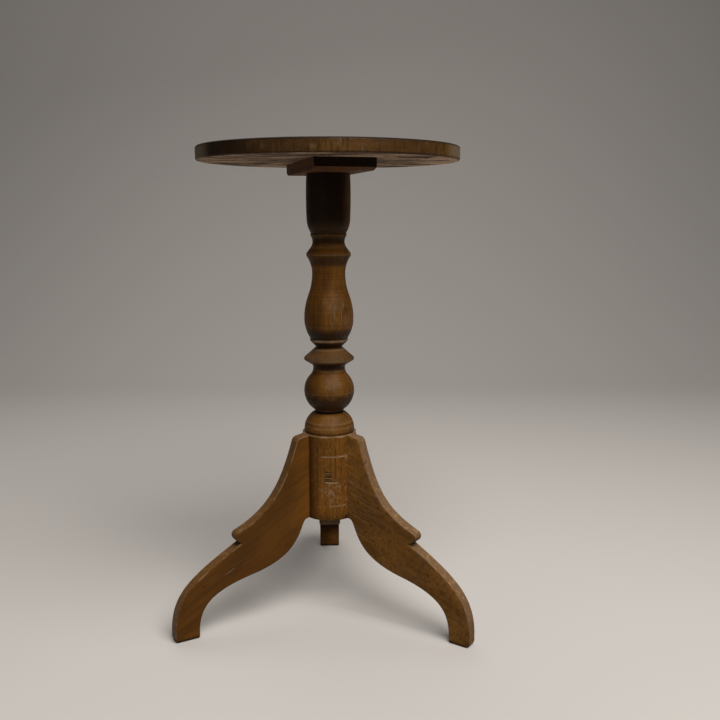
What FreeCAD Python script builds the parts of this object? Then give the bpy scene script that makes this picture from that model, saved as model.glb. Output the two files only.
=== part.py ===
"""Tripod wine table: a round top on a turned pillar with three sawn legs.

Millimetres, +Z up, floor at zero, origin under the middle of the table's footprint.
The pillar is drawn in strokes from its lower end upwards, as a turner works along it.
"""
import FreeCAD
import Part
import Sketcher
import math
import os
import re

# Driving sizes, in millimetres and degrees. A name that ends in share is a plain ratio.
SIZES = {
    # Round top, a single board
    "top_radius": 194.5,
    "top_thickness": 19.7,
    "top_upper_round": 3.0,
    "top_lower_round": 2.5,
    # Bearer under the top
    "bearer_length": 226.0,
    "bearer_width": 88.0,
    "bearer_thickness": 17.0,
    "bearer_bevel_length": 15.0,
    "bearer_bevel_height": 4.0,
    "bearer_bearing": 102.0,
    # Screws through the bearer into the top
    "screw_end_inset": 29.0,
    "screw_side_inset": 19.0,
    "screw_radius": 2.2,
    "screw_head_radius": 4.4,
    "screw_head_height": 2.6,
    "screw_length": 27.0,
    "screw_point_length": 4.0,
    "screw_slot_width": 1.2,
    "screw_slot_depth": 1.0,
    "screw_clearance": 0.2,
    # Spigot on the pillar's upper end and the wedge that spreads it
    "spigot_radius": 17.0,
    "spigot_clearance": 0.15,
    "spigot_setback": 0.5,
    "wedge_length": 30.0,
    "wedge_depth": 13.0,
    "wedge_head_width": 4.0,
    "wedge_tip_width": 1.2,
    "wedge_clearance": 0.1,
    # Pillar members from the lower end upwards, each with its radius at the top and its rise
    "base_round": 2.0,
    "base_radius": 42.0,
    "base_rise": 134.0,
    "dome_foot_radius": 39.0,
    "dome_foot_rise": 5.0,
    "dome_radius": 22.8,
    "dome_rise": 27.3,
    "low_neck_radius": 20.5,
    "low_neck_rise": 2.6,
    "ball_foot_radius": 21.4,
    "ball_radius": 38.9,
    "ball_rise": 31.1,
    "ball_cove_radius": 24.6,
    "ball_cove_rise": 36.0,
    "ball_cove_turn_share": 0.66,
    "ring_foot_radius": 28.8,
    "ring_foot_rise": 6.4,
    "ring_slope_radius": 37.3,
    "ring_slope_rise": 5.2,
    "ring_radius": 38.7,
    "ring_rise": 2.4,
    "ring_top_radius": 37.5,
    "ring_top_rise": 2.6,
    "ring_cone_radius": 21.6,
    "ring_cone_rise": 14.2,
    "mid_neck_radius": 19.8,
    "mid_neck_rise": 1.6,
    "bead_foot_radius": 28.0,
    "bead_foot_rise": 8.6,
    "bead_radius": 29.3,
    "bead_rise": 2.3,
    "bead_top_radius": 28.6,
    "bead_top_rise": 2.5,
    "vase_radius": 37.8,
    "vase_rise": 30.2,
    "waist_radius": 25.2,
    "waist_rise": 69.0,
    "waist_turn_share": 0.535,
    "flare_radius": 33.0,
    "flare_rise": 25.3,
    "collar_radius": 33.9,
    "collar_rise": 3.1,
    "collar_top_radius": 33.0,
    "collar_top_rise": 3.0,
    "collar_cone_radius": 27.2,
    "collar_cone_rise": 7.6,
    "collar_cove_radius": 24.3,
    "collar_cove_rise": 8.5,
    "upper_bead_foot_radius": 26.6,
    "upper_bead_foot_rise": 8.0,
    "upper_bead_radius": 27.4,
    "upper_bead_rise": 2.5,
    "upper_bead_top_radius": 26.8,
    "upper_bead_top_rise": 2.8,
    "shoulder_radius": 33.0,
    "shoulder_rise": 22.2,
    "shaft_radius": 33.6,
    "shaft_rise": 32.0,
    "shaft_top_radius": 32.7,
    "shaft_top_rise": 33.3,
    # Lines scribed round the base, measured up from the pillar's lower end
    "scribe_depth": 0.6,
    "scribe_width": 1.4,
    "low_scribe_level": 23.6,
    "mid_scribe_level": 102.8,
    # Legs, measured out from the pillar's axis and up from the floor
    "left_leg_thickness": 19.5,
    "right_leg_thickness": 20.5,
    "rear_leg_thickness": 35.5,
    "left_leg_reach": 262.0,
    "right_leg_reach": 254.5,
    "rear_leg_reach": 258.0,
    "leg_arris_round": 2.0,
    "leg_top_width": 18.0,
    "leg_top_drop": 3.5,
    "leg_top_round": 5.0,
    "underside_height": 154.0,
    "belly_start": 5.5,
    "belly_round": 4.0,
    "left_nose_reach": 167.0,
    "right_nose_reach": 165.0,
    "rear_nose_reach": 166.0,
    "left_nose_height": 149.0,
    "right_nose_height": 151.2,
    "rear_nose_height": 150.0,
    "nose_round": 8.0,
    "nose_end_depth": 10.5,
    "lip_round": 2.0,
    "left_notch_depth": 9.5,
    "right_notch_depth": 10.8,
    "rear_notch_depth": 11.0,
    "notch_round": 2.0,
    "left_foot_length": 37.5,
    "right_foot_length": 33.0,
    "rear_foot_length": 33.0,
    "foot_round": 6.0,
    "heel_round": 3.0,
    "foot_upright": 12.0,
    "arch_reach": 138.0,
    "arch_height": 81.2,
    "rear_leg_bearing": 90.0,
    "left_leg_bearing": 207.7,
    "right_leg_bearing": 324.3,
    # Sliding dovetails between legs and pillar
    "dovetail_depth": 16.0,
    "dovetail_neck_width": 10.0,
    "dovetail_wide_width": 15.0,
    "dovetail_root": 6.0,
    "dovetail_stop": 6.0,
    "joint_clearance": 0.15,
    # One overrun serves every cut that passes through
    "cut_overrun": 5.0,
}

# Directions of the leg's outline where two of its edges flow into each other, out and up.
LEG_TOP_SHARES = (0.305, -1.0)
NOSE_SHARES = (0.92, -0.395)
NOSE_END_SHARES = (-0.4, -0.92)
NOSE_UNDER_SHARES = (-0.87, -0.49)
KNEE_SHARES = (0.87, -0.502)
FOOT_SHARES = (0.0, -1.0)
HEEL_SHARES = (0.0, 1.0)
ARCH_SHARES = (-1.0, 0.193)
BELLY_SHARES = (-0.5, 1.0)
# How far each curve runs on in its first and last direction, as shares of its run or rise.
SWEEP_PULL_SHARES = {"left": (0.55, 0.6), "right": (0.6, 0.664), "rear": (0.6, 0.664)}
KNEE_PULL_SHARES = (0.788, 0.498)
ARCH_PULL_SHARES = (0.509, 0.882)
BELLY_PULL_SHARES = (0.822, 0.323)
# How far a rounded corner's handles reach towards the corner.
ROUNDING_SHARE = 0.55

# Strokes of the turned outline. A settle ends upright, a spring starts upright, an ogee does
# both, and a step runs straight in or out.
TURNED_STROKES = (
    ("line", "base"),
    ("step", "dome_foot"),
    ("line", "dome_foot"),
    ("spring", "dome"),
    ("step", "low_neck"),
    ("line", "low_neck"),
    ("step", "ball_foot"),
    ("settle", "ball"),
    ("ogee", "ball_cove"),
    ("spring", "ring_foot"),
    ("line", "ring_slope"),
    ("settle", "ring"),
    ("spring", "ring_top"),
    ("line", "ring_cone"),
    ("step", "mid_neck"),
    ("line", "mid_neck"),
    ("line", "bead_foot"),
    ("settle", "bead"),
    ("spring", "bead_top"),
    ("settle", "vase"),
    ("ogee", "waist"),
    ("spring", "flare"),
    ("settle", "collar"),
    ("spring", "collar_top"),
    ("line", "collar_cone"),
    ("settle", "collar_cove"),
    ("spring", "upper_bead_foot"),
    ("settle", "upper_bead"),
    ("spring", "upper_bead_top"),
    ("settle", "shoulder"),
    ("settle", "shaft"),
    ("spring", "shaft_top"),
)
PILLAR_RISE = " + ".join(f"{name}_rise" for stroke, name in TURNED_STROKES if stroke != "step")
BEARER_LEVEL = f"(underside_height + {PILLAR_RISE})"
TOP_LEVEL = f"({BEARER_LEVEL} + bearer_thickness)"
SCREW_SPACING_ALONG = "bearer_length - 2 * screw_end_inset"
SCREW_SPACING_ACROSS = "bearer_width - 2 * screw_side_inset"
# Directions to the right, the rear, the left and the front, in degrees.
QUARTER_TURNS = ("0", "90", "180", "270")
# Each leg's bearing, the thickness of the plank that it is sawn from and its reach.
LEGS = {
    "leg_rear": ("rear_leg_bearing", "rear_leg_thickness", "rear_leg_reach"),
    "leg_left": ("left_leg_bearing", "left_leg_thickness", "left_leg_reach"),
    "leg_right": ("right_leg_bearing", "right_leg_thickness", "right_leg_reach"),
}

document = FreeCAD.newDocument("wine_table")
sheet = document.addObject("Spreadsheet::Sheet", "sizes")
for row, (size_name, size) in enumerate(SIZES.items(), start=1):
    sheet.set(f"A{row}", size_name)
    sheet.set(f"B{row}", str(size))
    sheet.setAlias(f"B{row}", size_name)
document.recompute()


def formula(text):
    """Turn a formula in plain size names into one that reads the sheet."""
    return re.sub(r"[a-z_]+", lambda word: f"sizes.{word[0]}" if word[0] in SIZES else word[0], text)


def value(text):
    """Work out a formula at the sheet's present sizes."""
    return float(sheet.evalExpression(formula(text)))


def between(start, end, share):
    """Formula of the point at a share of the way from one formula to another."""
    return f"({start}) + (({end}) - ({start})) * {share}"


def along(point, direction, length):
    """Formulas of the point at a length from another one, in a direction given in shares."""
    return tuple(f"{start} + ({share}) * ({length})" for start, share in zip(point, direction))


def spans(start, end):
    """Formulas of the run and the rise between two points."""
    return tuple(f"abs(({there}) - ({here}))" for here, there in zip(start, end))


class Outline:
    """A closed chain of lines, arcs and curves on a sketch, every point held by formulas."""

    def __init__(self, sketch, across, up):
        self.sketch = sketch
        self.here = (across, up)
        self.first = None
        self.last = None

    def rule(self, *parts):
        return self.sketch.addConstraint(Sketcher.Constraint(*parts))

    def hold(self, shape, end, across, up):
        """Tie a point's two distances from the sketch's origin to formulas."""
        for kind, axis, text in (("DistanceX", -2, across), ("DistanceY", -1, up)):
            if text == "0":
                self.rule("PointOnObject", shape, end, axis)
            else:
                index = self.rule(kind, -1, 1, shape, end, value(text))
                self.sketch.setExpression(f"Constraints[{index}]", formula(text))

    def vector(self, across, up):
        return FreeCAD.Vector(value(across), value(up), 0)

    def chain(self, shape, start, end, across, up):
        """Join a new edge to the chain and hold its far end."""
        if self.last is None:
            self.first = (shape, start)
            self.hold(shape, start, *self.here)
        else:
            self.rule("Coincident", *self.last, shape, start)
        self.hold(shape, end, across, up)
        self.last = (shape, end)
        self.here = (across, up)

    def line_to(self, across, up):
        edge = Part.LineSegment(self.vector(*self.here), self.vector(across, up))
        self.chain(self.sketch.addGeometry(edge), 1, 2, across, up)

    def arc_to(self, across, up, upright):
        """Arc to a point, running upright at its start or at its end."""
        start = self.vector(*self.here)
        end = self.vector(across, up)
        still, free = (start, end) if upright == "start" else (end, start)
        drop = free.y - still.y
        middle = (free.x ** 2 - still.x ** 2 + drop ** 2) / (2 * (free.x - still.x))
        centre = FreeCAD.Vector(middle, still.y, 0)
        circle = Part.Circle(centre, FreeCAD.Vector(0, 0, 1), abs(still.x - middle))
        angles = [math.atan2(point.y - centre.y, point.x - centre.x) for point in (start, end)]
        turns_left = (start - centre).cross(end - centre).z > 0
        ends = (1, 2) if turns_left else (2, 1)
        low, high = angles if turns_left else reversed(angles)
        shape = self.sketch.addGeometry(Part.ArcOfCircle(circle, low, high))
        self.rule("Horizontal", shape, 3, shape, ends[0] if upright == "start" else ends[1])
        self.chain(shape, *ends, across, up)

    def curve_to(self, handles, across, up):
        """Smooth curve to a point, drawn towards two handles."""
        points = [self.here, *handles, (across, up)]
        curve = Part.BSplineCurve()
        curve.buildFromPolesMultsKnots([self.vector(*point) for point in points], [4, 4], [0, 1], False, 3)
        shape = self.sketch.addGeometry(curve)
        self.sketch.exposeInternalGeometry(shape)
        for step, handle in enumerate(handles, start=2):
            self.hold(shape + step, 3, *handle)
        self.chain(shape, 1, 2, across, up)

    def flow_to(self, leaving, pull, arriving, last_pull, end):
        """Smooth curve that leaves in one direction and arrives in another, each held for a length."""
        handles = [along(self.here, leaving, pull), along(end, arriving, f"0 - ({last_pull})")]
        self.curve_to(handles, *end)

    def round_to(self, corner, across, up):
        """Round a corner off, from a point before it to a point after it."""
        before = [between(here, there, ROUNDING_SHARE) for here, there in zip(self.here, corner)]
        after = [between(here, there, ROUNDING_SHARE) for here, there in zip((across, up), corner)]
        self.curve_to([before, after], across, up)

    def close(self):
        first_shape = self.sketch.Geometry[self.first[0]]
        start = first_shape.StartPoint
        edge = self.sketch.addGeometry(Part.LineSegment(self.vector(*self.here), start))
        self.rule("Coincident", *self.last, edge, 1)
        self.rule("Coincident", edge, 2, *self.first)


def new_body(name):
    body = document.addObject("PartDesign::Body", name)
    body.Label = name
    return body


def new_sketch(body, name, role):
    """Sketch on one of the body's own origin planes."""
    sketch = body.newObject("Sketcher::SketchObject", name)
    plane = next(feature for feature in body.Origin.OriginFeatures if feature.Role == role)
    sketch.AttachmentSupport = [(plane, "")]
    sketch.MapMode = "FlatFace"
    return sketch


def bind(thing, **formulas):
    for name, text in formulas.items():
        thing.setExpression(name, formula(text))


def turn_sketch(sketch, axis, bearing):
    """Turn a sketch in its plane's frame by a bearing of the sheet."""
    sketch.AttachmentOffset = FreeCAD.Placement(FreeCAD.Vector(), FreeCAD.Rotation(axis, value(bearing)))
    sketch.setExpression("AttachmentOffset.Rotation.Angle", formula(bearing))


def place(thing, level, bearing="0"):
    """Stand a piece on the pillar's axis at a level, turned to a bearing."""
    spot = f"vector({formula(PILLAR_X)}; {formula(PILLAR_Y)}; {formula(level)})"
    turn = f"rotation(vector(0; 0; 1); {formula(bearing)})"
    thing.setExpression("Placement", f"placement({spot}; {turn})")


def shift_sketch(sketch, across, away):
    """Move a standing sketch sideways and away from its plane."""
    bind(sketch, **{"AttachmentOffset.Base.x": across, "AttachmentOffset.Base.z": f"0 - ({away})"})


def revolve(body, name, sketch):
    feature = body.newObject("PartDesign::Revolution", name)
    feature.Profile = sketch
    feature.ReferenceAxis = (sketch, ["V_Axis"])
    feature.Angle = 360
    return feature


def pad(body, name, sketch, length, symmetric=False):
    feature = body.newObject("PartDesign::Pad", name)
    feature.Profile = sketch
    feature.SideType = "Symmetric" if symmetric else "One side"
    bind(feature, Length=length)
    return feature


def pocket(body, name, sketch, length, symmetric=False):
    """Cut that runs up from its sketch, or to both sides of it, and must take something away."""
    document.recompute()
    before = body.Shape.Volume
    feature = body.newObject("PartDesign::Pocket", name)
    feature.Profile = sketch
    feature.Reversed = True
    feature.SideType = "Symmetric" if symmetric else "One side"
    bind(feature, Length=length)
    document.recompute()
    if body.Shape.Volume >= before:
        raise RuntimeError(f"{name} cut nothing away")
    return feature


def circle(sketch, radius, across="0", up="0"):
    """Circle whose radius and centre are held by formulas."""
    centre = FreeCAD.Vector(value(across), value(up), 0)
    shape = sketch.addGeometry(Part.Circle(centre, FreeCAD.Vector(0, 0, 1), value(radius)))
    index = sketch.addConstraint(Sketcher.Constraint("Radius", shape, value(radius)))
    sketch.setExpression(f"Constraints[{index}]", formula(radius))
    Outline(sketch, across, up).hold(shape, 3, across, up)


def extent(direction):
    """Formula of how far the table reaches from the pillar's axis towards a direction."""
    reaches = ["top_radius"]
    for bearing, thickness, leg_reach in LEGS.values():
        turn = f"({bearing} - {direction})"
        reach = f"({leg_reach} - leg_arris_round) * cos{turn}"
        half = f"({thickness} / 2 - leg_arris_round) * abs(sin{turn})"
        reaches.append(f"{reach} + {half} + leg_arris_round")
    return f"max({'; '.join(reaches)})"


def footprint_middle():
    """Formulas of the pillar's place, with the origin under the middle of the whole table."""
    right, rear, left, front = [extent(direction) for direction in QUARTER_TURNS]
    return f"({left} - {right}) / 2", f"({front} - {rear}) / 2"


PILLAR_X, PILLAR_Y = footprint_middle()


def screw_places():
    """Formulas of the screws' four places under the bearer."""
    along = f"({SCREW_SPACING_ALONG}) / 2"
    across = f"({SCREW_SPACING_ACROSS}) / 2"
    return [(f"{end} {along}", f"{side} {across}") for end in ("0 -", "0 +") for side in ("0 -", "0 +")]


def make_table_top():
    body = new_body("table_top")
    sketch = new_sketch(body, "top_section", "XZ_Plane")
    outline = Outline(sketch, "0", "0")
    outline.line_to("top_radius - top_lower_round", "0")
    outline.arc_to("top_radius", "top_lower_round", upright="end")
    outline.line_to("top_radius", "top_thickness - top_upper_round")
    outline.arc_to("top_radius - top_upper_round", "top_thickness", upright="start")
    outline.line_to("0", "top_thickness")
    outline.close()
    revolve(body, "top_disc", sketch)
    pilots = new_sketch(body, "pilot_places", "XY_Plane")
    turn_sketch(pilots, FreeCAD.Vector(0, 0, 1), "bearer_bearing")
    for across, up in screw_places():
        circle(pilots, "screw_radius + screw_clearance", across, up)
    pocket(body, "pilot_holes", pilots, "screw_length - bearer_thickness + screw_clearance")
    place(body, TOP_LEVEL)
    return body


def make_bearer():
    body = new_body("bearer")
    side = new_sketch(body, "bearer_side", "XZ_Plane")
    half = "bearer_length / 2"
    outline = Outline(side, f"{half} - bearer_bevel_length", "0")
    outline.line_to(half, "bearer_bevel_height")
    outline.line_to(half, "bearer_thickness")
    outline.line_to(f"0 - {half}", "bearer_thickness")
    outline.line_to(f"0 - {half}", "bearer_bevel_height")
    outline.line_to(f"0 - {half} + bearer_bevel_length", "0")
    outline.close()
    pad(body, "bearer_batten", side, "bearer_width", symmetric=True)
    hole = new_sketch(body, "spigot_hole_circle", "XY_Plane")
    circle(hole, "spigot_radius + spigot_clearance")
    pocket(body, "spigot_hole", hole, "bearer_thickness + cut_overrun")
    shanks = new_sketch(body, "screw_places", "XY_Plane")
    for across, up in screw_places():
        circle(shanks, "screw_radius + screw_clearance", across, up)
    document.recompute()
    holes = body.newObject("PartDesign::Hole", "screw_holes")
    holes.Profile = shanks
    holes.Reversed = True
    holes.DepthType = "ThroughAll"
    holes.HoleCutType = "Countersink"
    bind(holes, Diameter="2 * (screw_radius + screw_clearance)")
    bind(holes, HoleCutDiameter="2 * (screw_head_radius + screw_clearance)")
    bind(holes, HoleCutCountersinkAngle="2 * atan((screw_head_radius - screw_radius) / screw_head_height)")
    place(body, BEARER_LEVEL, "bearer_bearing")
    return body


def make_bearer_screws():
    """Four countersunk screws with slotted heads, as one group of separate solids."""
    body = new_body("bearer_screws")
    sketch = new_sketch(body, "screw_section", "XZ_Plane")
    outline = Outline(sketch, "0", "0")
    outline.line_to("screw_head_radius", "0")
    outline.line_to("screw_radius", "screw_head_height")
    outline.line_to("screw_radius", "screw_length - screw_point_length")
    outline.line_to("0", "screw_length")
    outline.close()
    first_along, first_across = screw_places()[0]
    shift_sketch(sketch, first_along, first_across)
    screw = revolve(body, "screw", sketch)
    slot_sketch = new_sketch(body, "slot_section", "XZ_Plane")
    outline = Outline(slot_sketch, "screw_slot_width / 2", "0")
    outline.line_to("screw_slot_width / 2", "screw_slot_depth")
    outline.line_to("0 - screw_slot_width / 2", "screw_slot_depth")
    outline.line_to("0 - screw_slot_width / 2", "0")
    outline.close()
    shift_sketch(slot_sketch, first_along, first_across)
    slot = pocket(body, "driver_slot", slot_sketch, "2 * screw_head_radius + cut_overrun", symmetric=True)
    axes = {feature.Role: feature for feature in body.Origin.OriginFeatures}
    group = body.newObject("PartDesign::LinearPattern", "screw_group")
    group.Originals = [screw, slot]
    group.Direction = (axes["X_Axis"], [""])
    group.Direction2 = (axes["Y_Axis"], [""])
    group.Occurrences = len(("front", "rear"))
    group.Occurrences2 = len(("left", "right"))
    bind(group, Length=SCREW_SPACING_ALONG, Length2=SCREW_SPACING_ACROSS)
    body.Tip = group
    place(body, BEARER_LEVEL, "bearer_bearing")
    return body


def make_pillar():
    body = new_body("pillar")
    section = new_sketch(body, "turned_section", "XZ_Plane")
    outline = Outline(section, "0", "0")
    outline.line_to("base_radius - base_round", "0")
    outline.arc_to("base_radius", "base_round", upright="end")
    level = "0"
    for stroke, name in TURNED_STROKES:
        start_radius = outline.here[0]
        start_level = level
        if stroke == "step":
            outline.line_to(f"{name}_radius", level)
            continue
        level = f"{level} + {name}_rise"
        if stroke == "line":
            outline.line_to(f"{name}_radius", level)
        elif stroke == "ogee":
            share = f"{name}_turn_share"
            turn_radius = between(start_radius, f"{name}_radius", share)
            outline.arc_to(turn_radius, f"{start_level} + {name}_rise * {share}", upright="start")
            outline.arc_to(f"{name}_radius", level, upright="end")
        else:
            outline.arc_to(f"{name}_radius", level, upright="start" if stroke == "spring" else "end")
    spigot_top = f"{level} + bearer_thickness - spigot_setback"
    outline.line_to("spigot_radius", level)
    outline.line_to("spigot_radius", spigot_top)
    outline.line_to("0", spigot_top)
    outline.close()
    revolve(body, "turning", section)
    scribe_pillar(body)
    for name, (bearing, thickness, reach) in LEGS.items():
        sketch = new_sketch(body, f"{name}_socket_section", "XY_Plane")
        turn_sketch(sketch, FreeCAD.Vector(0, 0, 1), bearing)
        dovetail(sketch, "joint_clearance", "base_radius + cut_overrun")
        pocket(body, f"{name}_socket", sketch, "base_rise - dovetail_stop + joint_clearance")
    kerf = new_sketch(body, "kerf_section", "XZ_Plane")
    turn_sketch(kerf, FreeCAD.Vector(0, 1, 0), "bearer_bearing")
    wedge_outline(kerf, spigot_top, "wedge_clearance", "cut_overrun")
    pocket(body, "kerf", kerf, "2 * (spigot_radius + cut_overrun)", symmetric=True)
    place(body, "underside_height")
    return body


def scribe_pillar(body):
    """Setting-out lines that the turner left round the base, beside the legs."""
    sketch = new_sketch(body, "scribe_section", "XZ_Plane")
    for level in ("low_scribe_level", "mid_scribe_level"):
        outline = Outline(sketch, "base_radius - scribe_depth", level)
        outline.line_to("base_radius + scribe_depth", f"{level} + scribe_width")
        outline.line_to("base_radius + scribe_depth", f"{level} - scribe_width")
        outline.close()
    document.recompute()
    before = body.Shape.Volume
    groove = body.newObject("PartDesign::Groove", "scribed_lines")
    groove.Profile = sketch
    groove.ReferenceAxis = (sketch, ["V_Axis"])
    groove.Angle = 360
    document.recompute()
    if body.Shape.Volume >= before:
        raise RuntimeError("the scribed lines cut nothing away")


def dovetail(sketch, clearance, root):
    """Plan of a dovetail that widens towards the pillar's axis, grown by a clearance."""
    inner = f"base_radius - dovetail_depth - {clearance}"
    wide = f"dovetail_wide_width / 2 + {clearance}"
    neck = f"dovetail_neck_width / 2 + {clearance}"
    outline = Outline(sketch, inner, f"0 - ({wide})")
    outline.line_to("base_radius", f"0 - ({neck})")
    outline.line_to(root, f"0 - ({neck})")
    outline.line_to(root, neck)
    outline.line_to("base_radius", neck)
    outline.line_to(inner, wide)
    outline.close()


def wedge_outline(sketch, head_level, clearance, overrun):
    """Tapered section of the wedge, grown by a clearance for the kerf that takes it."""
    tip_level = f"{head_level} - wedge_depth - {clearance}"
    head = f"wedge_head_width / 2 + {clearance}"
    tip = f"wedge_tip_width / 2 + {clearance}"
    outline = Outline(sketch, tip, tip_level)
    outline.line_to(head, head_level)
    if overrun != "0":
        outline.line_to(head, f"{head_level} + {overrun}")
        outline.line_to(f"0 - ({head})", f"{head_level} + {overrun}")
    outline.line_to(f"0 - ({head})", head_level)
    outline.line_to(f"0 - ({tip})", tip_level)
    outline.close()


def make_spigot_wedge():
    body = new_body("spigot_wedge")
    sketch = new_sketch(body, "wedge_section", "XZ_Plane")
    wedge_outline(sketch, "wedge_depth", "0", "0")
    pad(body, "wedge", sketch, "wedge_length", symmetric=True)
    place(body, f"{TOP_LEVEL} - spigot_setback - wedge_depth", "bearer_bearing")
    return body


def sweep_curve(outline, leaving, arriving, end, pull_shares):
    """Curve of the leg that starts steeply and ends flatly."""
    run, rise = spans(outline.here, end)
    first, last = pull_shares
    outline.flow_to(leaving, f"{rise} * {first}", arriving, f"{run} * {last}", end)


def bend_curve(outline, leaving, arriving, end, pull_shares):
    """Curve of the leg that starts flatly and ends steeply."""
    run, rise = spans(outline.here, end)
    first, last = pull_shares
    outline.flow_to(leaving, f"{run} * {first}", arriving, f"{rise} * {last}", end)


def make_leg(name):
    """Sawn leg with a swept upper edge, a stepped nose and an arched foot, scribed to the pillar."""
    bearing, thickness, reach = LEGS[name]
    body = new_body(name)
    side = new_sketch(body, "leg_side", "XZ_Plane")
    inner = "base_radius - dovetail_depth"
    top = "underside_height + base_rise"
    corner = ("base_radius + leg_top_width", f"{top} - leg_top_drop")
    slope = "leg_top_drop / leg_top_width"
    crest = (f"{corner[0]} - leg_top_round", f"{corner[1]} + leg_top_round * {slope}")
    sweep_start = along(corner, LEG_TOP_SHARES, "leg_top_round")
    hand = name.removeprefix("leg_")
    nose = (f"{hand}_nose_reach", f"{hand}_nose_height")
    sweep_end = along(nose, NOSE_SHARES, "0 - nose_round")
    nose_end = along(nose, NOSE_END_SHARES, "nose_round")
    lip = along(nose, NOSE_END_SHARES, "nose_end_depth")
    lip_start = along(lip, NOSE_END_SHARES, "0 - lip_round")
    lip_end = along(lip, NOSE_UNDER_SHARES, "lip_round")
    notch = along(lip, NOSE_UNDER_SHARES, f"{hand}_notch_depth")
    notch_start = along(notch, NOSE_UNDER_SHARES, "0 - notch_round")
    knee_start = along(notch, KNEE_SHARES, "notch_round")
    knee_end = (reach, "foot_upright")
    heel = (f"{reach} - {hand}_foot_length", "0")
    heel_end = along(heel, HEEL_SHARES, "heel_round")
    arch = ("arch_reach", "arch_height")
    belly = ("base_radius + belly_start", "underside_height")
    belly_end = along(belly, BELLY_SHARES, "0 - belly_round")
    outline = Outline(side, inner, "underside_height")
    outline.line_to(inner, f"{top} + dovetail_depth * {slope}")
    outline.line_to(*crest)
    outline.round_to(corner, *sweep_start)
    sweep_curve(outline, LEG_TOP_SHARES, NOSE_SHARES, sweep_end, SWEEP_PULL_SHARES[hand])
    outline.round_to(nose, *nose_end)
    outline.line_to(*lip_start)
    outline.round_to(lip, *lip_end)
    outline.line_to(*notch_start)
    outline.round_to(notch, *knee_start)
    bend_curve(outline, KNEE_SHARES, FOOT_SHARES, knee_end, KNEE_PULL_SHARES)
    outline.line_to(reach, "foot_round")
    outline.round_to((reach, "0"), f"{reach} - foot_round", "0")
    outline.line_to(f"{heel[0]} + heel_round", "0")
    outline.round_to(heel, *heel_end)
    sweep_curve(outline, HEEL_SHARES, ARCH_SHARES, arch, ARCH_PULL_SHARES)
    bend_curve(outline, ARCH_SHARES, BELLY_SHARES, belly_end, BELLY_PULL_SHARES)
    outline.round_to(belly, f"{belly[0]} - belly_round", belly[1])
    outline.close()
    plank = pad(body, "leg_plank", side, thickness, symmetric=True)
    document.recompute()
    round_arrises(body, plank, thickness)
    shoulder = new_sketch(body, "shoulder_circle", "XY_Plane")
    circle(shoulder, "base_radius + joint_clearance")
    pocket(body, "scribed_shoulder", shoulder, f"{top} + cut_overrun")
    tail = new_sketch(body, "dovetail_section", "XY_Plane")
    bind(tail, **{"AttachmentOffset.Base.z": "underside_height"})
    dovetail(tail, "0", "base_radius + dovetail_root")
    pad(body, "dovetail", tail, "base_rise - dovetail_stop")
    place(body, "0", bearing)
    return body


def round_arrises(body, plank, thickness):
    """Round the edges of the leg's two sawn faces, all round from the pillar and back to it."""
    half = value(f"{thickness} / 2")
    near = Part.Precision.confusion()
    names = []
    for number, edge in enumerate(plank.Shape.Edges, start=1):
        marks = [vertex.Y for vertex in edge.Vertexes] + [edge.CenterOfMass.y]
        sawn = all(abs(abs(mark) - half) <= near for mark in marks)
        if sawn and edge.BoundBox.XMax > value("base_radius"):
            names.append(f"Edge{number}")
    rounding = body.newObject("PartDesign::Fillet", "worn_arrises")
    rounding.Base = (plank, names)
    bind(rounding, Radius="leg_arris_round")


def check_and_export(pieces):
    """Stop on any failed object or shape, then write one file for each piece."""
    document.recompute()
    for thing in document.Objects:
        if "Invalid" in thing.State or "Error" in thing.State:
            raise RuntimeError(f"{thing.Name} failed: {thing.State}")
    for piece in pieces:
        if piece.Shape.isNull() or not piece.Shape.isValid():
            raise RuntimeError(f"{piece.Label} has no sound shape")
    os.makedirs("parts", exist_ok=True)
    for piece in pieces:
        piece.Shape.exportStep(f"parts/{piece.Label}.step")
        print(piece.Label, len(piece.Shape.Solids), "solid, volume", round(piece.Shape.Volume))


check_and_export(
    [
        make_table_top(),
        make_bearer(),
        make_bearer_screws(),
        make_pillar(),
        make_spigot_wedge(),
        *[make_leg(name) for name in LEGS],
    ]
)
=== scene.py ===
"""Looks of a tripod wine table: old waxed wood, worn and scratched, on a plain studio floor."""

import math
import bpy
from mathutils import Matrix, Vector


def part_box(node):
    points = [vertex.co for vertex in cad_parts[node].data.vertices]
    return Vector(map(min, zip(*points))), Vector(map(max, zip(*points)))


bl_info = {
    "name": "Wine table looks",
    "version": (1, 0, 0),
    "blender": (4, 5, 0),
    "location": "View3D > Sidebar > Table",
    "description": "Finishes a tripod wine table in worn waxed wood and lights it on a plain floor",
    "category": "Object",
}

import bmesh
import bpy
from bpy.props import FloatProperty, FloatVectorProperty, PointerProperty
from bpy.types import Operator, Panel, PropertyGroup
from mathutils import Vector

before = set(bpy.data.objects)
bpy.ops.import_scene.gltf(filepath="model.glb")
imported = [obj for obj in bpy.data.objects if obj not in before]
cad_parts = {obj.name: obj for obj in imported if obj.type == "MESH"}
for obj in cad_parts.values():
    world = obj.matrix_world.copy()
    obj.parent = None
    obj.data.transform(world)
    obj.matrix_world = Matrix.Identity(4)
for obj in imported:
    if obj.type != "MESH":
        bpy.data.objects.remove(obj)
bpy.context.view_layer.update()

# Places read from the frame, in metres. The pillar's axis is the middle of the round top.
TOP_LOW, TOP_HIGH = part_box("table_top")
TOP_RADIUS = (TOP_HIGH.x - TOP_LOW.x) / 2
AXIS = ((TOP_LOW + TOP_HIGH) / 2).to_2d()
BEARER_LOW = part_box("bearer")[0]

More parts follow.
